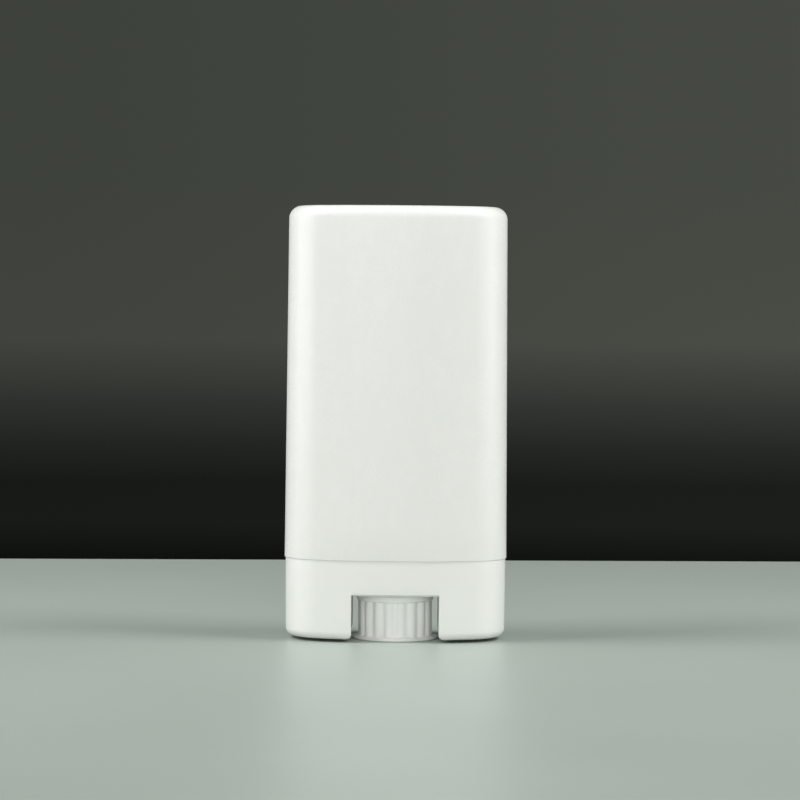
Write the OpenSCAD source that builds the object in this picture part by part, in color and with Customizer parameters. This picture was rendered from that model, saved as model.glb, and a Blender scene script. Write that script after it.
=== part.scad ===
// Twist-up cosmetic tube: an oval stick pack with a pull-off cap and a ribbed wheel in its base.
// The pack stands on its wheel at z = 0, its width along X and its windows facing -Y and +Y.

/* [Outline] */
// Width of the closed pack at the rim of its cap
pack_w = 53; // [47:0.5:60]
// Depth of the closed pack at the rim of its cap
pack_d = 28; // [26:0.5:32]
// Height of the closed pack
pack_h = 103; // [80:1:130]
// Radius of the round ends of the oval
end_r = 11.5; // [10:0.25:12]
// Slope of the walls, in degrees
draft = 0.35; // [0:0.05:0.5]

/* [Cap] */
// Height of the seam between the cap and the base
seam_z = 19.4; // [16:0.1:24]
// Thickness of the cap's side wall
cap_wall = 1.3; // [1:0.1:1.8]
// Thickness of the cap's roof
cap_roof = 1.4; // [1:0.1:2.5]
// Rounding of the cap's top edge
top_r = 3; // [1.5:0.25:4]
// Rounding of the two edges that meet at the seam
seam_r = 0.2; // [0.1:0.05:0.4]
// How far the cap's rim stands out past the base
seam_step = 0.25; // [0.1:0.05:0.6]

/* [Barrel] */
// Gap between the cap and the neck inside it
cap_fit = 0.3; // [0.2:0.05:0.5]
// Thickness of the neck's wall at the shoulder
neck_wall = 1.3; // [1.1:0.1:1.8]
// Free height between the neck's mouth and the cap's roof
head_room = 8.6; // [5:0.2:12]
// Height of the ribs that the cap snaps over
snap_h = 0.15; // [0.05:0.05:0.2]
// Length of each snap rib
snap_w = 14; // [8:1:20]
// Thickness of each snap rib
snap_t = 1.2; // [0.6:0.1:2]
// Height of the snap ribs above the seam
snap_z = 2.5; // [1:0.5:6]
// Thickness of the base's wall
skirt_wall = 1.6; // [1.2:0.1:2]
// Rounding of the base's lower edge
foot_r = 2; // [1:0.25:2.5]
// Height of the base's lower edge above the table
skirt_lift = 0.6; // [0.1:0.1:0.8]
// Thickness of the floor under the product
floor_t = 1.4; // [1:0.1:2]
// How far the floor's underside lies below the window's top
floor_dip = 0.3; // [0.2:0.1:1]

/* [Window] */
// Width of the thumb window
window_w = 20.6; // [19:0.2:24]
// Height of the window's top above the table
window_top = 11.3; // [9.5:0.1:12.5]
// Rounding of the window's lower corners
window_r = 1.4; // [0.5:0.1:2]
// How far the channel's walls lie behind the window's edges
channel_step = 0.6; // [0.3:0.1:1.5]
// Thickness of the channel's walls
channel_wall = 1.2; // [0.8:0.1:1.6]

/* [Wheel] */
// Diameter across the wheel's ribs
wheel_d = 17.6; // [15:0.2:18]
// Number of ribs round the wheel
rib_n = 18; // [14:1:20]
// Radius of one rib
rib_r = 1.3; // [0.7:0.1:1.4]
// How far a rib stands out of the drum
rib_h = 0.6; // [0.3:0.05:0.7]
// Thickness of the drum's wall
drum_wall = 1.2; // [0.8:0.1:2]
// Diameter of the wheel's collar
collar_d = 18.3; // [16:0.1:19]
// Thickness of the wheel's collar
collar_h = 1.7; // [0.8:0.1:2]
// Gap between the collar and the floor above it
collar_gap = 0.2; // [0.15:0.05:0.5]
// Diameter of the wheel's foot
foot_d = 20.6; // [18:0.2:21]
// Thickness of the wheel's foot
foot_h = 0.5; // [0.4:0.1:0.8]
// Height of the slope from the foot up to the ribs
flare_h = 0.6; // [0.2:0.1:0.8]

/* [Spindle] */
// Diameter of the journal that turns in the floor
journal_d = 8; // [7:0.2:9]
// Radial clearance of the journal in its bore
journal_fit = 0.08; // [0.04:0.01:0.1]
// How far the snap bead stands out of the journal
bead_step = 0.4; // [0.2:0.05:0.6]
// Height of the snap bead
bead_h = 1; // [0.6:0.1:1.6]
// Gap between the floor and the snap bead
bead_gap = 0.2; // [0.1:0.05:0.4]
// Diameter of the spindle's core
core_d = 5; // [4:0.2:5.6]
// Diameter over the spindle's thread
thread_d = 7.4; // [6.6:0.2:8]
// Rise of the elevator for one turn of the wheel
lead = 5; // [4:0.5:7]
// Width of the thread at its root
ridge_root = 1.8; // [1.4:0.1:2]
// Width of the thread at its crest
ridge_tip = 1; // [0.6:0.1:1.3]
// How far the spindle ends below the neck's mouth
spindle_drop = 5; // [2:0.5:10]

/* [Elevator] */
// Gap between the elevator's rim and the neck's wall
rim_fit = 0.15; // [0.1:0.05:0.3]
// Height of the elevator's rim
rim_h = 7; // [5:0.5:12]
// Thickness of the elevator's rim
rim_wall = 0.9; // [0.7:0.1:1.4]
// Gap between the elevator at rest and the floor
rest_gap = 0.3; // [0.2:0.05:0.5]
// Thickness of the elevator's plate
plate_t = 1.2; // [0.8:0.1:2]
// Height of the hub that rides on the thread
hub_h = 10; // [8:0.5:14]
// Thickness of the hub's wall
hub_wall = 1.1; // [0.8:0.1:1.6]
// Radial gap between the thread and the hub
thread_gap = 0.25; // [0.2:0.05:0.4]
// Axial play between the thread and the hub's lugs
thread_play = 0.9; // [0.6:0.1:1.2]
// Diameter of the holes that key the product to the plate
hole_d = 3.2; // [2:0.2:4]
// Spacing of the holes along the width
hole_pitch = 5.4; // [5:0.2:6]
// Spacing of the two rows of holes
hole_row = 10; // [7:0.5:12]
// Thickness of the webs that brace the hub
web_t = 0.9; // [0.7:0.1:1.4]
// Height of the webs above the plate
web_h = 3; // [1.5:0.5:5]

/* [Hidden] */
$fn = 64;

side_n = 16;        // facets along each long side
end_n = 24;         // facets round each end
thread_n = 16;      // facets in one turn of the thread
arc_n = 5;          // facets in a rounded edge
eps = 0.5;          // how far a cut runs past its face
sink = 0.3;         // how deep a joined shape reaches into its neighbour

end_x = pack_w / 2 - end_r;
side_r = (end_x * end_x + pack_d * pack_d / 4 - end_r * end_r) / (pack_d - 2 * end_r);
side_y = side_r - pack_d / 2;
join_a = atan2(end_x, side_y);

skirt_off = -seam_step;
neck_off = -cap_wall - cap_fit;
well_off = neck_off - neck_wall;
rim_off = well_off - rim_fit;
mouth_z = pack_h - cap_roof - head_room;
under_z = window_top - floor_dip;
floor_z = under_z + floor_t;

channel_x = window_w / 2 + channel_step;
bore_d = journal_d + 2 * journal_fit;
collar_top = under_z - collar_gap;
collar_z = collar_top - collar_h;
bead_z = floor_z + bead_gap;
bead_top = bead_z + bead_h;
spindle_top = mouth_z - spindle_drop;

rim_z = floor_z + rest_gap;
plate_z = bead_top + rest_gap;
hub_bore = thread_d + 2 * thread_gap;
hub_d = hub_bore + 2 * hub_wall;
thread_z = plate_z + lead / 2;
thread_top = spindle_top - lead / 2;
lug_z = thread_z + lead / 2;

// Offset of a sloping wall that starts at the seam, z upward
function sloped(off, z) = off - abs(z - seam_z) * tan(draft);

// Points along an arc, its last point left to what follows
function arc(x, y, r, a0, a1, n) =
    [for (i = [0:n - 1]) let (a = a0 + (a1 - a0) * i / n) [x + r * cos(a), y + r * sin(a)]];

// The oval, moved outward by off: two round ends joined by two flatter sides
function oval(off) = concat(
    arc(end_x, 0, end_r + off, join_a - 90, 90 - join_a, end_n),
    arc(0, -side_y, side_r + off, 90 - join_a, 90 + join_a, side_n),
    arc(-end_x, 0, end_r + off, 90 + join_a, 270 - join_a, end_n),
    arc(0, side_y, side_r + off, 270 - join_a, 270 + join_a, side_n));

// A rounded edge in a wall's profile, its centre at [x, z]
function edge(x, z, r, a0, a1) =
    [for (i = [0:arc_n]) let (a = a0 + (a1 - a0) * i / arc_n) [x + r * cos(a), z + r * sin(a)]];

// A solid whose profile is a list of [offset, z], from its top down the outside
module turned_oval(profile) {
    n = len(oval(0));
    last = len(profile) - 1;
    points = [for (p = profile) for (q = oval(p[0])) [q[0], q[1], p[1]]];
    sides = [for (k = [0:last - 1]) for (i = [0:n - 1])
        let (j = (i + 1) % n) [k * n + i, k * n + j, (k + 1) * n + j, (k + 1) * n + i]];
    top = [for (i = [n - 1:-1:0]) i];
    bottom = [for (i = [0:n - 1]) last * n + i];
    polyhedron(points, concat([top], sides, [bottom]), 10);
}

module oval_block(off, z0, z1) {
    translate([0, 0, z0]) linear_extrude(z1 - z0) polygon(oval(off));
}

module mirrored_x() {
    children();
    mirror([1, 0, 0]) children();
}

// A helical ridge of left-hand thread, its section given as [radius, z] points
module ridge(section, z, a0, a1) {
    steps = ceil(abs(a1 - a0) / 360 * thread_n);
    m = len(section);
    points = [for (i = [0:steps]) let (a = a0 + (a1 - a0) * i / steps) for (p = section)
        [p[0] * cos(a), p[0] * sin(a), z - lead * a / 360 + p[1]]];
    sides = [for (i = [0:steps - 1]) for (k = [0:m - 1]) let (l = (k + 1) % m)
        [i * m + l, i * m + k, (i + 1) * m + k, (i + 1) * m + l]];
    first = [for (k = [0:m - 1]) k];
    last = [for (k = [m - 1:-1:0]) steps * m + k];
    polyhedron(points, concat([first], sides, [last]), 10);
}

// Width of the thread at radius r
function ridge_w(r) = ridge_root + (ridge_tip - ridge_root) * (r - core_d / 2) / ((thread_d - core_d) / 2);

module cap() {
    in_r = max(top_r - cap_wall, seam_r);
    roof_x = sloped(0, pack_h - top_r);
    in_z = pack_h - cap_roof - in_r;
    outside = concat(
        edge(roof_x - top_r, pack_h - top_r, top_r, 90, 0),
        edge(-seam_r, seam_z + seam_r, seam_r, 0, -90));
    inside = concat(
        [[-cap_wall, seam_z]],
        edge(sloped(-cap_wall, in_z) - in_r, in_z, in_r, 0, 90));
    color("white") turned_oval(concat(outside, inside));
}

// The ribs that the cap snaps over, one on each long side of the neck
module snap_ribs() {
    intersection() {
        oval_block(neck_off + snap_h, seam_z + snap_z, seam_z + snap_z + snap_t);
        translate([-snap_w / 2, -pack_d, 0]) cube([snap_w, 2 * pack_d, pack_h]);
    }
}

module barrel_body() {
    lip = neck_wall / 4;
    turned_oval(concat(
        edge(sloped(neck_off, mouth_z) - lip, mouth_z - lip, lip, 90, 0),
        [[neck_off, seam_z]],
        edge(skirt_off - seam_r, seam_z - seam_r, seam_r, 90, 0),
        edge(sloped(skirt_off, skirt_lift) - foot_r, skirt_lift + foot_r, foot_r, 0, -90)));
}

// The space under the floor, with the walls of the wheel's channel left standing
module under_floor() {
    difference() {
        oval_block(skirt_off - skirt_wall, -eps, under_z);
        mirrored_x() translate([channel_x, -pack_d, -2 * eps]) cube([channel_wall, 2 * pack_d, pack_h]);
    }
}

// The windows, cut through the base's wall only, with their lower corners rounded off
module windows() {
    difference() {
        translate([0, pack_d, 0]) rotate([90, 0, 0]) linear_extrude(2 * pack_d) {
            translate([-window_w / 2, -eps]) square([window_w, window_top + eps]);
            mirrored_x() translate([window_w / 2 - eps, skirt_lift - eps]) difference() {
                square([window_r + eps, window_r + eps]);
                translate([window_r + eps, window_r + eps]) circle(window_r);
            }
        }
        oval_block(skirt_off - skirt_wall - sink, -2 * eps, window_top + 2 * eps);
    }
}

module barrel() {
    color("white") difference() {
        union() {
            barrel_body();
            snap_ribs();
        }
        oval_block(well_off, floor_z, mouth_z + eps);
        under_floor();
        windows();
        cylinder(d = bore_d, h = floor_z + eps);
    }
}

module wheel() {
    drum_r = wheel_d / 2 - rib_h;
    difference() {
        union() {
            cylinder(d = foot_d, h = foot_h);
            translate([0, 0, foot_h]) cylinder(d1 = foot_d, d2 = wheel_d, h = flare_h);
            linear_extrude(collar_z + collar_h / 2) {
                circle(drum_r);
                for (i = [0:rib_n - 1]) rotate(360 * (i + 0.5) / rib_n - 90)
                    translate([wheel_d / 2 - rib_r, 0]) circle(rib_r, $fn = 24);
            }
            translate([0, 0, collar_z]) rotate_extrude() collar_side();
        }
        translate([0, 0, -eps]) cylinder(r = drum_r - drum_wall, h = collar_z + eps);
    }
}

// Half of the collar's section, its rim half round
module collar_side() {
    round_r = collar_h / 2;
    square([collar_d / 2 - round_r, collar_h]);
    intersection() {
        translate([collar_d / 2 - round_r, round_r]) circle(round_r);
        square([collar_d, collar_h]);
    }
}

module spindle() {
    bead_r = journal_d / 2 + bead_step;
    section = [
        [core_d / 2 - sink, -ridge_w(core_d / 2 - sink) / 2], [core_d / 2 - sink, ridge_w(core_d / 2 - sink) / 2],
        [thread_d / 2, ridge_tip / 2], [thread_d / 2, -ridge_tip / 2]];
    translate([0, 0, collar_top - sink]) cylinder(d = journal_d, h = bead_z - collar_top + sink);
    translate([0, 0, bead_z]) rotate_extrude()
        polygon([[0, 0], [bead_r, 0], [bead_r, bead_h / 2], [journal_d / 2 - bead_step, bead_h], [0, bead_h]]);
    translate([0, 0, bead_z]) cylinder(d = core_d, h = spindle_top - bead_z);
    ridge(section, thread_z, -360 * (thread_top - thread_z) / lead, 0);
}

module wheel_spindle() {
    color("white") union() {
        wheel();
        spindle();
    }
}

module lug(a, z) {
    r0 = core_d / 2 + thread_gap;
    r1 = hub_bore / 2 + sink;
    w0 = (lead - ridge_w(r0) - thread_play) / 2;
    w1 = (lead - ridge_w(r1) - thread_play) / 2;
    rotate(a) ridge([[r0, -w0], [r0, w0], [r1, w1], [r1, -w1]], z, -45, 45);
}

module elevator_tray() {
    difference() {
        oval_block(rim_off, rim_z, rim_z + rim_h);
        oval_block(rim_off - rim_wall, plate_z + plate_t, rim_z + rim_h + eps);
        oval_block(rim_off - rim_wall, rim_z - eps, plate_z);
        mirrored_x() for (i = [0:2]) for (y = [-1, 1])
            translate([hub_d / 2 + hole_d / 2 + i * hole_pitch, y * hole_row / 2, rim_z])
                cylinder(d = hole_d, h = rim_h);
    }
}

// Webs from the hub to the rim, along and across the oval
module webs() {
    intersection() {
        oval_block(rim_off - rim_wall / 2, plate_z, plate_z + plate_t + web_h);
        union() {
            translate([-pack_w, -web_t / 2, plate_z]) cube([2 * pack_w, web_t, pack_h]);
            translate([-web_t / 2, -pack_d, plate_z]) cube([web_t, 2 * pack_d, pack_h]);
        }
    }
}

module elevator() {
    color("white") difference() {
        union() {
            elevator_tray();
            translate([0, 0, plate_z]) cylinder(d = hub_d, h = hub_h);
            webs();
        }
        translate([0, 0, plate_z - eps]) cylinder(d = hub_bore, h = hub_h + 2 * eps);
    }
    color("white") lug(0, lug_z);
    color("white") lug(180, lug_z + lead / 2);
}

cap();
barrel();
wheel_spindle();
elevator();
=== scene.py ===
# Looks of the oval twist-up stick pack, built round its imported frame.
# Sizes are in millimetres until a mesh is made; the frame itself is in metres.
import math

import bmesh
import bpy
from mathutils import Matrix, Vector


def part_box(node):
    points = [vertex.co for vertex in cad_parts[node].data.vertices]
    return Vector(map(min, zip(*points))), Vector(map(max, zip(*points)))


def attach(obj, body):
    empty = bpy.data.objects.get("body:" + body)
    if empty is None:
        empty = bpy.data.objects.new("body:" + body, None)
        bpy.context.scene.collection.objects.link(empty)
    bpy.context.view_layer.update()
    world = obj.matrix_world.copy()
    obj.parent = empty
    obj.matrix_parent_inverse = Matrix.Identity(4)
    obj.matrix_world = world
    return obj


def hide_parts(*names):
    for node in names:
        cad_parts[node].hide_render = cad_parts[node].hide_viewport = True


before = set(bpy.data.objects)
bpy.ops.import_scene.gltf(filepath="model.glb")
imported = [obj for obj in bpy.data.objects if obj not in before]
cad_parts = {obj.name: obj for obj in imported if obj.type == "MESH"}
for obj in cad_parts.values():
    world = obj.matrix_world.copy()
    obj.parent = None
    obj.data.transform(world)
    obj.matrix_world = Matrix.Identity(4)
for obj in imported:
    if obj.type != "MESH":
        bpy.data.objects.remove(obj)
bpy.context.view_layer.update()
millimetre = 0.001
quarter = math.pi / 2

# Camera, level with the upper pack and a little right of its axis
view = {
    "lens": 132.9,
    "distance": 0.705,
    "height": 0.080,
    "aside": 0.00055,
    "pitch": 1.876,
    "roll": -0.5,
}


def makeCamera():
    data = bpy.data.cameras.new("camera")
    data.lens = view["lens"]
    data.sensor_width = 36
    data.clip_start = 0.01
    camera = bpy.data.objects.new("camera", data)
    camera.location = (view["aside"], -view["distance"], view["height"])
    camera.rotation_euler = (math.radians(90 - view["pitch"]), math.radians(view["roll"]), 0)
    bpy.context.scene.collection.objects.link(camera)
    bpy.context.scene.camera = camera


makeCamera()
bpy.context.scene.view_settings.view_transform = "Standard"
print("camera set")


# Shader maths: a wire is a value that a node gives, and an expression on wires adds nodes
class Wire:
    def __init__(self, finish, socket):
        self.finish = finish
        self.socket = socket

    def calc(self, operation, first, second):
        return self.finish.node("Math", {"operation": operation}, {0: first, 1: second})

    def __add__(self, other):
        return self.calc("ADD", self, other)

    def __radd__(self, other):
        return self.calc("ADD", other, self)

    def __sub__(self, other):
        return self.calc("SUBTRACT", self, other)

    def __rsub__(self, other):
        return self.calc("SUBTRACT", other, self)

    def __mul__(self, other):
        return self.calc("MULTIPLY", self, other)

    def __rmul__(self, other):
        return self.calc("MULTIPLY", other, self)

    def above(self, edge, width):
        return self.finish.node(
            "MapRange", {"interpolation_type": "SMOOTHSTEP", "clamp": True},
            {"Value": self, "From Min": edge - width / 2, "From Max": edge + width / 2})


# A node tree, and the one way that nodes are added to it
class Finish:
    def __init__(self, tree):
        self.tree = tree
        tree.nodes.clear()

    def node(self, kind, settings=None, sockets=None, out=0):
        made = self.tree.nodes.new("ShaderNode" + kind)
        for name, value in (settings or {}).items():
            if name == "stops":
                self.setStops(made.color_ramp, value)
            else:
                setattr(made, name, value)
        for name, value in (sockets or {}).items():
            if isinstance(value, Wire):
                self.tree.links.new(value.socket, made.inputs[name])
            else:
                made.inputs[name].default_value = value
        return Wire(self, made.outputs[out]) if made.outputs else None

    def setStops(self, ramp, stops):
        while len(ramp.elements) < len(stops):
            ramp.elements.new(0.5)
        for element, (place, colour) in zip(ramp.elements, stops):
            element.position = place
            element.color = (*colour, 1)

    def mix(self, factor, first, second):
        return self.node(
            "Mix", {"data_type": "RGBA"},
            {0: factor, 6: self.opaque(first), 7: self.opaque(second)}, out=2)

    def opaque(self, colour):
        return colour if isinstance(colour, Wire) else (*colour, 1)


# The plan of the pack: an oval of four arcs that meet smoothly
low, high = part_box("cap")
plan = {
    "width": (high.x - low.x) / millimetre,
    "depth": (high.y - low.y) / millimetre,
    "endRadius": 11.5,
    "endSteps": 64,     # facets round one end
    "sideSteps": 64,    # facets along one long side
}
seamZ = low.z / millimetre
topZ = high.z / millimetre
slope = math.tan(math.radians(0.35))
endX = plan["width"] / 2 - plan["endRadius"]
sideRadius = (endX ** 2 + plan["depth"] ** 2 / 4 - plan["endRadius"] ** 2) / (
    plan["depth"] - 2 * plan["endRadius"])
sideY = sideRadius - plan["depth"] / 2
joinAngle = math.atan2(endX, sideY)


def arcAngles(start, end, steps):
    return [start + (end - start) * i / steps for i in range(steps)]


# Each arc: its centre, its radius and the directions it faces
planArcs = [
    (endX, 0, plan["endRadius"],
     arcAngles(joinAngle - quarter, quarter - joinAngle, plan["endSteps"])),
    (0, -sideY, sideRadius,
     arcAngles(quarter - joinAngle, quarter + joinAngle, plan["sideSteps"])),
    (-endX, 0, plan["endRadius"],
     arcAngles(quarter + joinAngle, 3 * quarter - joinAngle, plan["endSteps"])),
    (0, sideY, sideRadius,
     arcAngles(3 * quarter - joinAngle, 3 * quarter + joinAngle, plan["sideSteps"])),
]


def ovalRing(offset, z):
    return [(x + (r + offset) * math.cos(a), y + (r + offset) * math.sin(a), z)
            for x, y, r, angles in planArcs for a in angles]


def roundRing(radius, z):
    return [(radius * math.cos(a), radius * math.sin(a), z)
            for x, y, r, angles in planArcs for a in angles]


def sloped(offset, z):
    return offset - abs(z - seamZ) * slope


# Half depth of the oval at a distance x from its middle, moved outward by offset
def halfDepth(x, offset):
    return math.sqrt((sideRadius + offset) ** 2 - x * x) - sideY


# Points of a rounded edge, as pairs of offset and height
def rounded(x, z, radius, start, end, steps=8):
    turns = [math.radians(start + (end - start) * i / steps) for i in range(steps + 1)]
    return [(x + radius * math.cos(t), z + radius * math.sin(t)) for t in turns]


def straight(first, last, steps):
    (x, z), (endX, endZ) = first, last
    return [(x + (endX - x) * i / steps, z + (endZ - z) * i / steps) for i in range(1, steps)]


# A mesh through rings of points; looped joins the last ring to the first, otherwise both ends close
def loft(name, rings, looped=False):
    count = len(rings[0])
    points = [tuple(c * millimetre for c in p) for ring in rings for p in ring]
    last = len(rings) if looped else len(rings) - 1
    faces = []
    for k in range(last):
        here, there = k * count, (k + 1) % len(rings) * count
        for i in range(count):
            j = (i + 1) % count
            faces.append((here + i, here + j, there + j, there + i))
    if not looped:
        faces.append(tuple(range(count)))
        faces.append(tuple((len(rings) - 1) * count + i for i in range(count)))
    return solidFrom(name, points, faces)


def solidFrom(name, points, faces):
    mesh = bpy.data.meshes.new(name)
    mesh.from_pydata(points, [], faces)
    shape = bmesh.new()
    shape.from_mesh(mesh)
    bmesh.ops.recalc_face_normals(shape, faces=shape.faces)
    shape.to_mesh(mesh)
    shape.free()
    piece = bpy.data.objects.new(name, mesh)
    bpy.context.scene.collection.objects.link(piece)
    return piece


# A block between two corners
def block(name, lowest, highest):
    spans = list(zip(lowest, highest))
    points = [(x * millimetre, y * millimetre, z * millimetre)
              for x in spans[0] for y in spans[1] for z in spans[2]]
    faces = [(0, 1, 3, 2), (4, 6, 7, 5), (0, 4, 5, 1), (2, 3, 7, 6), (0, 2, 6, 4), (1, 5, 7, 3)]
    return solidFrom(name, points, faces)


def combine(piece, operation, *others):
    for other in others:
        step = piece.modifiers.new("combine", "BOOLEAN")
        step.operation = operation
        step.solver = "EXACT"
        step.object = other
        graph = bpy.context.evaluated_depsgraph_get()
        made = bpy.data.meshes.new_from_object(piece.evaluated_get(graph))
        piece.modifiers.clear()
        old = piece.data
        piece.data = made
        bpy.data.meshes.remove(old)
        spare = other.data
        bpy.data.objects.remove(other)
        bpy.data.meshes.remove(spare)
    return piece


crispAngle = 32    # degrees; a sharper edge stays crisp


# Smooth faces with crisp edges, the finish, the body it moves with and the solid it stands for
def dress(piece, finish, body, node):
    piece.data.materials.clear()
    piece.data.materials.append(finish)
    piece.data.shade_smooth()
    piece.data.set_sharp_from_angle(angle=math.radians(crispAngle))
    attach(piece, body)
    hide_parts(node)
    print(piece.name, len(piece.data.polygons), "faces")


# White moulded plastic: a clouded tint, a faint flow grain, and a fine peel on the surface
plastic = {
    "cap": {
        "light": (0.802, 0.809, 0.783), "deep": (0.793, 0.801, 0.774), "rough": 0.27, "peel": 0.06},
    "barrel": {
        "light": (0.812, 0.821, 0.793), "deep": (0.803, 0.812, 0.784), "rough": 0.30, "peel": 0.07},
    # The wheel is paler than the cap: partly its own white plastic, partly painted light standing in for
    # the light that reaches it in its recess behind the windows
    "wheel": {
        "light": (0.92, 0.93, 0.91), "deep": (0.90, 0.915, 0.89), "rough": 0.33, "peel": 0.10},
    "elevator": {
        "light": (0.82, 0.83, 0.80), "deep": (0.77, 0.79, 0.755), "rough": 0.40, "peel": 0.16},
}
# How many features of each kind there are to a metre, and how deep the peel is, in metres
grain = {"cloud": 55.0, "flow": 260.0, "peel": 1500.0, "speck": 5200.0, "depth": 0.00004}


def makePlastic(kind):
    look = plastic[kind]
    material = bpy.data.materials.new(kind + "Plastic")
    material.use_nodes = True
    finish = Finish(material.node_tree)
    place = finish.node("TexCoord", out=3)
    cloud = finish.node(
        "TexNoise", None, {"Vector": place, "Scale": grain["cloud"], "Detail": 3.0, "Roughness": 0.55})
    flow = finish.node(
        "TexNoise", None,
        {"Vector": finish.node("Mapping", None, {"Vector": place, "Scale": (1.0, 1.0, 0.3)}),
         "Scale": grain["flow"], "Detail": 2.0})
    peel = finish.node(
        "TexNoise", None,
        {"Vector": place, "Scale": grain["peel"], "Detail": 2.0, "Roughness": 0.6})
    speck = finish.node(
        "TexNoise", None, {"Vector": place, "Scale": grain["speck"], "Detail": 1.0})
    colour = finish.mix(cloud.above(0.5, 0.5), look["deep"], look["light"])
    roughness = look["rough"] + (cloud - 0.5) * 0.06 + (flow - 0.5) * 0.03 + (speck - 0.5) * 0.05
    height = peel + flow * 0.12 + speck * 0.25
    bump = finish.node(
        "Bump", None, {"Strength": look["peel"], "Distance": grain["depth"], "Height": height})
    shader = finish.node(
        "BsdfPrincipled", None,
        {"Base Color": colour, "Roughness": roughness, "Normal": bump, "IOR": 1.49,
         "Specular IOR Level": 0.5})
    finish.node("OutputMaterial", None, {"Surface": shader})
    return material


print("plastics ready")

# Cap: a tall shell with a rounded top edge and a small radius at its rim
cap = {
    "wall": 1.3,
    "roof": 1.4,
    "topRadius": 3.0,
    "rimRadius": 0.1,
}


def makeCap():
    r, rim = cap["topRadius"], cap["rimRadius"]
    inner = r - cap["wall"]
    topX = sloped(0, topZ - r) - r
    innerZ = topZ - cap["roof"] - inner
    outside = rounded(topX, topZ - r, r, 90, 0, steps=14)
    outside += straight(outside[-1], (0, seamZ + rim), steps=10)
    outside += rounded(-rim, seamZ + rim, rim, 0, -90, steps=6)
    inside = [(-cap["wall"], seamZ)]
    roofEdge = rounded(sloped(-cap["wall"], innerZ) - inner, innerZ, inner, 0, 90)
    inside += straight(inside[0], roofEdge[0], steps=6) + roofEdge
    piece = loft("capShell", [ovalRing(x, z) for x, z in outside + inside])
    dress(piece, makePlastic("cap"), "cap", "cap")


makeCap()

# Barrel: neck, shoulder, skirt with two windows, wheel channel and floor, moulded as one
barrel = {
    "seamStep": 0.25,
    "capFit": 0.3,
    "neckWall": 1.3,
    "headRoom": 8.6,
    "mouthRadius": 0.325,
    "skirtWall": 1.6,
    "skirtLift": 0.6,
    "footRadius": 2.0,
    "seamRadius": 0.1,
    "floor": 1.4,
    "floorDip": 0.3,        # how far the floor's underside lies below the window's top
    "windowWidth": 20.6,
    "windowTop": 11.3,
    "windowCorner": 1.4,    # rounding of the window's lower corners
    "windowEdge": 0.35,      # rounding of the window's rim
    "windowTurn": 0.4,      # rounding of the window's upper corners
    "windowStops": (3.5, 5.5, 7.5, 9.0),    # heights of the points down the window's sides
    "cutPast": 0.05,        # how far the window's cutter passes the wall's inner face
    "boreLead": 0.3,        # chamfer under the bore
    "boreEdge": 0.2,        # chamfer over the bore
    "wellFillet": 0.5,
    "underFillet": 0.4,
    "mouthEdge": 0.15,
    "snapSink": 0.4,        # how deep the snap rib is set into the neck
    "channelStep": 0.6,
    "channelWall": 1.2,
    "bore": 8.16,
    "snapHeight": 0.15,
    "snapLength": 14.0,
    "snapZ": 2.5,
    "snapThick": 1.2,
}
neckOffset = -cap["wall"] - barrel["capFit"]
wellOffset = neckOffset - barrel["neckWall"]
mouthZ = topZ - cap["roof"] - barrel["headRoom"]
underZ = barrel["windowTop"] - barrel["floorDip"]
floorZ = underZ + barrel["floor"]


# Offset of the skirt's outer face at a height, its lower edge rounded inward
def skirtOffset(z):
    r = barrel["footRadius"]
    offset = sloped(-barrel["seamStep"], z)
    rise = barrel["skirtLift"] + r - z
    if rise <= 0:
        return offset
    rise = min(rise, r)
    return offset - r + math.sqrt(r * r - rise * rise)


# The window's rim in the plane of the face, grown outward by a margin
def windowRim(grow):
    half = barrel["windowWidth"] / 2
    corner, turn = barrel["windowCorner"], barrel["windowTurn"]
    lift, top = barrel["skirtLift"], barrel["windowTop"]
    side = [(half + corner, -1.0), (half + corner, lift)]
    for i in range(1, 9):
        t = quarter * i / 8
        side.append((half + corner - corner * math.sin(t), lift + corner - corner * math.cos(t)))
    side += [(half, z) for z in barrel["windowStops"]]
    for i in range(7):
        t = quarter * i / 6
        side.append((half - turn + turn * math.cos(t), top - turn + turn * math.sin(t)))
    across = [(half - turn - (2 * half - 2 * turn) * i / 24, top) for i in range(1, 24)]
    path = side + across + [(-x, z) for x, z in reversed(side)]
    grown = []
    for i, (x, z) in enumerate(path):
        before, after = path[max(i - 1, 0)], path[min(i + 1, len(path) - 1)]
        dx, dz = after[0] - before[0], after[1] - before[1]
        length = math.hypot(dx, dz)
        grown.append((x + grow * dz / length, z - grow * dx / length))
    return grown


# What the window takes away: its rim flares where it meets the outer face, side is -1 at the front
def windowCutter(side):
    edge = barrel["windowEdge"]
    rings = [[(x, side * plan["depth"], z) for x, z in windowRim(edge)]]
    for i in range(7):
        t = quarter * i / 6
        grow, depth = edge * (1 - math.sin(t)), edge * (1 - math.cos(t))
        rings.append([(x, side * (halfDepth(x, skirtOffset(z)) - depth), z)
                      for x, z in windowRim(grow)])
    # The cutter ends just behind the wall, and there it stays below the floor
    past = barrel["cutPast"]
    inner, below = -barrel["seamStep"] - barrel["skirtWall"], underZ - past
    back = [(x, min(halfDepth(x, inner), halfDepth(x, skirtOffset(z)) - edge) - past, z)
            for x, z in windowRim(0)]
    last = min(y for x, y, z in back) - 0.3
    rings.append([(x, side * y, z) for x, y, z in back])
    rings.append([(x, side * (y - 0.2), min(z, below)) for x, y, z in back])
    rings.append([(x, side * last, min(z, below)) for x, y, z in back])
    return loft("windowCutter", rings)


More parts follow.
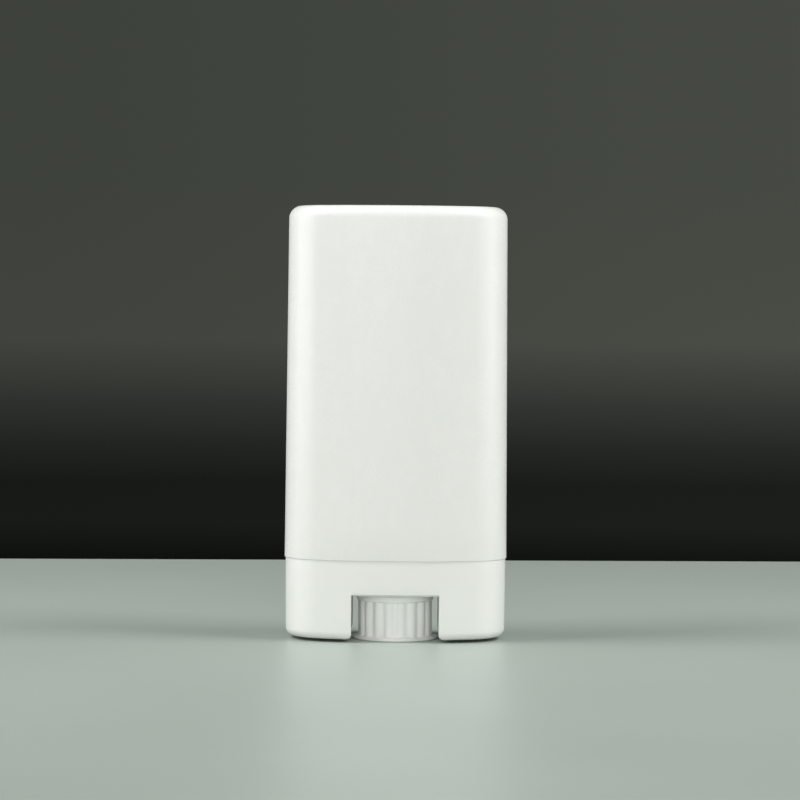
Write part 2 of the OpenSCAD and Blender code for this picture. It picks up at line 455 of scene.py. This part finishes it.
# The low rib on one long side of the neck, which the cap snaps over
def snapRib(side):
    foot = seamZ + barrel["snapZ"]
    rise, thick = barrel["snapHeight"], barrel["snapThick"]
    sink, ramp = barrel["snapSink"], rise * 1.5
    section = [(-sink, 0), (0, 0), (rise, ramp), (rise, thick - ramp), (0, thick), (-sink, thick)]
    rings = []
    for i in range(25):
        x = barrel["snapLength"] * (i / 24 - 0.5)
        rings.append([(x, side * halfDepth(x, neckOffset + out), foot + up)
                      for out, up in section])
    return loft("snapRib", rings)


def makeBarrel():
    rim, foot, lip = barrel["seamRadius"], barrel["footRadius"], barrel["mouthRadius"]
    lift, wall = barrel["skirtLift"], barrel["skirtWall"]
    skirtX = -barrel["seamStep"]
    footX = sloped(skirtX, lift) - foot
    under = skirtX - wall
    # The section runs down the outside, under the skirt, along the floor and up the well
    section = rounded(skirtX - rim, seamZ - rim, rim, 90, 0, steps=6)
    section += straight(section[-1], (footX + foot, lift + foot), steps=6)
    section += rounded(footX, lift + foot, foot, 0, -72, steps=12)
    section += [(under + 0.03, section[-1][1] + 0.02), (under, section[-1][1] + 0.12)]
    corner = barrel["underFillet"]
    section += [(under, underZ - corner), (under - corner, underZ)]
    bore, lead, edge = barrel["bore"] / 2, barrel["boreLead"], barrel["boreEdge"]
    floorRings = [roundRing(bore + lead, underZ), roundRing(bore, underZ + lead),
                  roundRing(bore, floorZ - edge), roundRing(bore + edge, floorZ)]
    fillet, mouth = barrel["wellFillet"], barrel["mouthEdge"]
    neck = [(wellOffset - fillet, floorZ), (wellOffset, floorZ + fillet)]
    neck += straight(neck[-1], (wellOffset, mouthZ - mouth), steps=8)
    neck += rounded(wellOffset + mouth, mouthZ - mouth, mouth, 180, 90, steps=4)
    neck += rounded(sloped(neckOffset, mouthZ) - lip, mouthZ - lip, lip, 90, 0, steps=6)
    neck += straight(neck[-1], (neckOffset, seamZ), steps=8) + [(neckOffset, seamZ)]
    rings = [ovalRing(x, z) for x, z in section] + floorRings + [ovalRing(x, z) for x, z in neck]
    piece = loft("barrelShell", rings, looped=True)
    walls = []
    for side in (-1, 1):
        inner = side * (barrel["windowWidth"] / 2 + barrel["channelStep"])
        outer = inner + side * barrel["channelWall"]
        reach = halfDepth(abs(outer), under + 0.05)
        near, far = sorted((inner, outer))
        walls.append(block("channelWall", (near, -reach, lift), (far, reach, underZ + 0.4)))
    combine(piece, "UNION", *walls, snapRib(-1), snapRib(1))
    combine(piece, "DIFFERENCE", windowCutter(-1), windowCutter(1))
    dress(piece, makePlastic("barrel"), "barrel", "barrel")


makeBarrel()

# Wheel and spindle: a ribbed thumb wheel with a collar and a foot, and the thread above it
wheel = {
    "diameter": 17.6,
    "ribs": 18,
    "ribRadius": 1.3,
    "ribHeight": 0.6,
    "stepsPerRib": 16,
    "wall": 1.2,
    "collar": 18.3,
    "collarHeight": 1.7,
    "collarRound": 0.5,
    "collarGap": 0.2,
    "foot": 20.6,
    "footHeight": 0.5,
    "footEdge": 0.5,
    "flareHeight": 0.6,
    "flareReach": 0.7,      # share of the way to the foot's edge that the slope starts at
    "journal": 8.0,
    "bead": 8.8,
    "beadGap": 0.2,
    "beadHeight": 1.0,
}
spindle = {
    "core": 5.0,
    "thread": 7.4,
    "lead": 5.0,
    "rootWidth": 1.8,
    "crestWidth": 1.0,
    "drop": 5.0,
    "stepsPerTurn": 40,
    "sink": 0.3,
}
collarTop = underZ - wheel["collarGap"]
collarZ = collarTop - wheel["collarHeight"]
beadZ = floorZ + wheel["beadGap"]
beadTop = beadZ + wheel["beadHeight"]
spindleTop = mouthZ - spindle["drop"]
plateZ = beadTop + 0.3
threadZ = plateZ + spindle["lead"] / 2
threadTop = spindleTop - spindle["lead"] / 2


# A ring of the ribbed wall; flare moves it out towards the foot's edge
def ribbedRing(z, flare=0.0):
    drum = wheel["diameter"] / 2 - wheel["ribHeight"]
    centre = wheel["diameter"] / 2 - wheel["ribRadius"]
    count = wheel["ribs"] * wheel["stepsPerRib"]
    ring = []
    for i in range(count):
        a = 2 * math.pi * i / count
        near = ((a + quarter) / (4 * quarter) * wheel["ribs"]) % 1 - 0.5
        swing = near * 2 * math.pi / wheel["ribs"]
        reach = wheel["ribRadius"] ** 2 - (centre * math.sin(swing)) ** 2
        r = max(drum, centre * math.cos(swing) + math.sqrt(reach)) if reach > 0 else drum
        r += (wheel["foot"] / 2 - r) * flare
        ring.append((r * math.cos(a), r * math.sin(a), z))
    return ring


def wheelRing(radius, z):
    count = wheel["ribs"] * wheel["stepsPerRib"]
    return [(radius * math.cos(2 * math.pi * i / count), radius * math.sin(2 * math.pi * i / count), z)
            for i in range(count)]


def makeWheel():
    foot, edge = wheel["foot"] / 2, wheel["footEdge"]
    drumIn = wheel["diameter"] / 2 - wheel["ribHeight"] - wheel["wall"]
    nose = wheel["collarRound"]
    collarX = wheel["collar"] / 2 - nose
    rings = [wheelRing(drumIn - 0.5, collarZ), wheelRing(drumIn, collarZ - 0.5)]
    rings += [wheelRing(drumIn, 0.2), wheelRing(drumIn + 0.2, 0)]
    rings += [wheelRing(x, z) for x, z in rounded(foot - edge, edge, edge, -90, 0, 6)]
    rings += [wheelRing(foot - 0.1, wheel["footHeight"])]
    flareTop = wheel["footHeight"] + wheel["flareHeight"]
    for i in range(1, 7):
        flare = wheel["flareReach"] * (1 - i / 6) ** 2
        rings.append(ribbedRing(wheel["footHeight"] + wheel["flareHeight"] * i / 6, flare))
    rings += [ribbedRing(flareTop + (collarZ - flareTop) * i / 8) for i in range(1, 8)]
    rings += [ribbedRing(collarZ - 0.05)]
    rings += [wheelRing(x, z) for x, z in rounded(collarX, collarZ + nose, nose, -90, 0, 6)]
    rings += [wheelRing(x, z) for x, z in rounded(collarX, collarTop - nose, nose, 0, 90, 6)]
    journal, bead, core = wheel["journal"] / 2, wheel["bead"] / 2, spindle["core"] / 2
    rings += [wheelRing(journal, collarTop), wheelRing(journal, beadZ), wheelRing(bead, beadZ)]
    rings += [wheelRing(bead, beadZ + wheel["beadHeight"] / 2), wheelRing(journal - 0.4, beadTop)]
    rings += [wheelRing(core + 0.3, beadTop), wheelRing(core, beadTop + 0.3)]
    rings += [wheelRing(core, beadTop + (spindleTop - beadTop) * i / 12) for i in range(1, 12)]
    rings += [wheelRing(core, spindleTop - 0.4), wheelRing(core - 0.4, spindleTop)]
    piece = loft("wheelAndSpindle", rings)
    crest = spindle["thread"] / 2
    root = core - spindle["sink"]
    grade = (spindle["crestWidth"] - spindle["rootWidth"]) / (crest - core)
    rootHalf = (spindle["rootWidth"] - grade * spindle["sink"]) / 2
    turns = (threadTop - threadZ) / spindle["lead"]
    crestHalf = spindle["crestWidth"] / 2
    section = [(root, -rootHalf), (root, rootHalf), (crest, crestHalf), (crest, -crestHalf)]
    thread = helix("thread", section, threadZ, -2 * math.pi * turns, 0)
    combine(piece, "UNION", thread)
    dress(piece, makePlastic("wheel"), "wheel", "wheel_spindle")


# A left-hand ridge: its section of radius and height is swept round the spindle's axis
def helix(name, section, z, start, end, turned=0.0):
    steps = math.ceil(abs(end - start) / (2 * math.pi) * spindle["stepsPerTurn"])
    rings = []
    for i in range(steps + 1):
        a = start + (end - start) * i / steps
        rise = z - spindle["lead"] * a / (2 * math.pi)
        rings.append([(r * math.cos(a + turned), r * math.sin(a + turned), rise + h)
                      for r, h in section])
    return loft(name, rings)


makeWheel()

# Elevator: a dished platform with webs, keying holes and a hub that rides on the thread
elevator = {
    "rimFit": 0.15,
    "rimHeight": 7.0,
    "rimWall": 0.9,
    "plate": 1.2,
    "restGap": 0.3,
    "hubHeight": 10.0,
    "hubBore": 7.9,
    "hubWall": 1.1,
    "hole": 3.2,
    "holePitch": 5.4,
    "holeRow": 10.0,
    "holesAcross": 3,       # holes in each half of a row
    "web": 0.9,
    "webHeight": 3.0,
    "play": 0.9,
    "threadGap": 0.25,
}


# Half the width of the space that the thread leaves for a lug at a radius
def lugHalf(radius):
    share = (radius - spindle["core"] / 2) / ((spindle["thread"] - spindle["core"]) / 2)
    width = spindle["rootWidth"] + (spindle["crestWidth"] - spindle["rootWidth"]) * share
    return (spindle["lead"] - width - elevator["play"]) / 2


# One of the two lugs in the hub that ride in the thread
def hubLug(turned, z):
    tip = spindle["core"] / 2 + elevator["threadGap"]
    root = elevator["hubBore"] / 2 + 0.3
    section = [(tip, -lugHalf(tip)), (tip, lugHalf(tip)), (root, lugHalf(root)), (root, -lugHalf(root))]
    return helix("lug", section, z, -quarter / 2, quarter / 2, turned)


def makeElevator():
    outer = wellOffset - elevator["rimFit"]
    inner = outer - elevator["rimWall"]
    rimZ = floorZ + elevator["restGap"]
    rimTop = rimZ + elevator["rimHeight"]
    plateTop = plateZ + elevator["plate"]
    bore, hub = elevator["hubBore"] / 2, elevator["hubBore"] / 2 + elevator["hubWall"]
    hubTop = plateZ + elevator["hubHeight"]
    rings = [roundRing(bore, plateZ + 0.2), roundRing(bore, hubTop - 0.2), roundRing(bore + 0.2, hubTop),
             roundRing(hub - 0.2, hubTop), roundRing(hub, hubTop - 0.2), roundRing(hub, plateTop + 0.3),
             roundRing(hub + 0.3, plateTop)]
    section = [(inner - 0.3, plateTop), (inner, plateTop + 0.3), (inner, rimTop - 0.2)]
    section += rounded(outer - 0.2, rimTop - 0.2, 0.2, 90, 0, 4)
    section += [(outer, rimZ + 0.2), (outer - 0.2, rimZ), (inner, rimZ), (inner, plateZ)]
    rings += [ovalRing(x, z) for x, z in section]
    rings += [roundRing(bore + 0.2, plateZ)]
    piece = loft("elevatorTray", rings, looped=True)
    webTop = plateTop + elevator["webHeight"]
    thick = elevator["web"] / 2
    webs = []
    for side in (-1, 1):
        reachX = plan["width"] / 2 + inner + 0.4
        reachY = plan["depth"] / 2 + inner + 0.4
        near, far = sorted((side * (hub - 0.4), side * reachX))
        webs.append(block("web", (near, -thick, plateTop - 0.4), (far, thick, webTop)))
        near, far = sorted((side * (hub - 0.4), side * reachY))
        webs.append(block("web", (-thick, near, plateTop - 0.4), (thick, far, webTop)))
    combine(piece, "UNION", *webs)
    holes = []
    for i in range(elevator["holesAcross"]):
        for side in (-1, 1):
            for row in (-1, 1):
                x = side * (hub + elevator["hole"] / 2 + i * elevator["holePitch"])
                y = row * elevator["holeRow"] / 2
                r = elevator["hole"] / 2
                circle = [(x + r * math.cos(t), y + r * math.sin(t))
                          for t in arcAngles(0, 4 * quarter, 32)]
                ends = [[(u, v, z) for u, v in circle] for z in (plateZ - 1, plateTop + 1)]
                holes.append(loft("hole", ends))
    combine(piece, "DIFFERENCE", *holes)
    half = spindle["lead"] / 2
    combine(piece, "UNION", hubLug(0, threadZ + half), hubLug(2 * quarter, threadZ + 2 * half))
    dress(piece, makePlastic("elevator"), "elevator", "elevator")


makeElevator()

# Floor: a pale table that ends behind the pack
floor = {
    "side": 0.8, "near": -1.0, "thick": 0.02,
    "farLeft": 0.168, "farRight": 0.258,    # the table's back edge runs slightly askew
    "light": (0.44, 0.495, 0.45),
    "deep": (0.41, 0.465, 0.42),
    "cloud": 9.0,           # light and deep patches to a metre
    "rough": 0.42,
}


def makeFloor():
    side, near = floor["side"], floor["near"]
    corners = [(-side, near), (side, near), (side, floor["farRight"]), (-side, floor["farLeft"])]
    points = [(x, y, z) for z in (-floor["thick"], 0) for x, y in corners]
    faces = [(0, 1, 2, 3), (4, 5, 6, 7), (0, 1, 5, 4), (1, 2, 6, 5), (2, 3, 7, 6), (3, 0, 4, 7)]
    slab = solidFrom("floor", points, faces)
    material = bpy.data.materials.new("paleTable")
    material.use_nodes = True
    finish = Finish(material.node_tree)
    place = finish.node("TexCoord", out=3)
    cloud = finish.node("TexNoise", None, {"Vector": place, "Scale": floor["cloud"], "Detail": 2.0})
    colour = finish.mix(cloud.above(0.5, 0.6), floor["deep"], floor["light"])
    shader = finish.node(
        "BsdfPrincipled", None,
        {"Base Color": colour, "Roughness": floor["rough"], "Specular IOR Level": 0.5})
    finish.node("OutputMaterial", None, {"Surface": shader})
    slab.data.materials.append(material)
    print("floor laid")


makeFloor()

# Lamps: soft boxes round the pack; each has a place, a size and a power, and aims at the pack
lamps = {
    "leftBox": {"place": (-0.64, -0.12, 0.25), "size": (0.6, 0.46), "power": 1.75},
    "rightBox": {"place": (0.64, -0.12, 0.26), "size": (0.4, 0.48), "power": 1.1},
    "rightStrip": {"place": (0.62, -0.46, 0.28), "size": (0.12, 0.5), "power": 0.35},
    "lowBox": {"place": (-0.20, -1.10, 0.18), "size": (0.6, 0.3), "power": 0.6},
    "topLeft": {"place": (-0.40, -0.11, 0.54), "size": (0.24, 0.24), "power": 1.75},
    "topRight": {"place": (0.40, -0.11, 0.54), "size": (0.24, 0.24), "power": 1.75},
}
aimHeight = 0.05    # metres above the table, where the lamps aim


def makeLamps():
    for name, lamp in lamps.items():
        data = bpy.data.lights.new(name, "AREA")
        data.shape = "RECTANGLE"
        data.size, data.size_y = lamp["size"]
        data.energy = lamp["power"]
        holder = bpy.data.objects.new(name, data)
        holder.location = lamp["place"]
        aim = holder.location.copy()
        aim.negate()
        aim.z += aimHeight
        holder.rotation_mode = "QUATERNION"
        holder.rotation_quaternion = aim.to_track_quat("-Z", "Y")
        bpy.context.scene.collection.objects.link(holder)


# World: a pale fill, lighter from the front, and a dark backdrop that deepens towards the table
backdrop = {
    "fill": (0.288, 0.29, 0.284),
    "front": (2.84, 2.86, 2.81),
    "frontFrom": (0.0, -0.99, 0.12),
    "frontEdge": 0.93,
    "frontSoft": 0.07,
    "stops": [
        (0.0, (0.0045, 0.0050, 0.0038)), (0.10, (0.0050, 0.0056, 0.0042)),
        (0.18, (0.0095, 0.0105, 0.0090)), (0.28, (0.0085, 0.0100, 0.0082)),
        (0.37, (0.0150, 0.0175, 0.0145)), (0.47, (0.0270, 0.0300, 0.0255)),
        (0.62, (0.0530, 0.0580, 0.0480)), (0.80, (0.0510, 0.0560, 0.0460)),
        (1.0, (0.0480, 0.0540, 0.0450))],
    "lowest": -0.10,
    "highest": 0.04,
    "right": 1.25,      # how much lighter the backdrop is on the right
    "sideSoft": 0.3,    # how softly its right side begins
}


def makeWorld():
    world = bpy.data.worlds.new("studio")
    bpy.context.scene.world = world
    world.use_nodes = True
    finish = Finish(world.node_tree)
    direction = finish.node("TexCoord")
    across = finish.node("SeparateXYZ", None, {0: direction}, out=0)
    upward = finish.node("SeparateXYZ", None, {0: direction}, out=2)
    rise = finish.node(
        "MapRange", None,
        {"Value": upward, "From Min": backdrop["lowest"], "From Max": backdrop["highest"]})
    ramp = finish.node("ValToRGB", {"stops": backdrop["stops"]}, {0: rise})
    lighter = finish.node(
        "Mix", {"data_type": "RGBA", "blend_type": "MULTIPLY"},
        {0: 1.0, 6: ramp, 7: (backdrop["right"], backdrop["right"], backdrop["right"], 1)}, out=2)
    shade = finish.mix(across.above(0.0, backdrop["sideSoft"]), ramp, lighter)
    # Only diffuse rays meet the fill; the camera and the gloss see the dark backdrop
    seen = finish.node("LightPath", out="Is Camera Ray")
    seen += finish.node("LightPath", out="Is Glossy Ray")
    toward = finish.node(
        "VectorMath", {"operation": "DOT_PRODUCT"}, {0: direction, 1: backdrop["frontFrom"]}, out=1)
    front = toward.above(backdrop["frontEdge"], backdrop["frontSoft"])
    fill = finish.node(
        "Background", None,
        {"Color": finish.mix(front, backdrop["fill"], backdrop["front"]), "Strength": 1.0})
    shown = finish.node("Background", None, {"Color": shade, "Strength": 1.0})
    both = finish.node("MixShader", None, {0: seen, 1: fill, 2: shown})
    finish.node("OutputWorld", None, {"Surface": both})


makeLamps()
makeWorld()
print("studio lit")
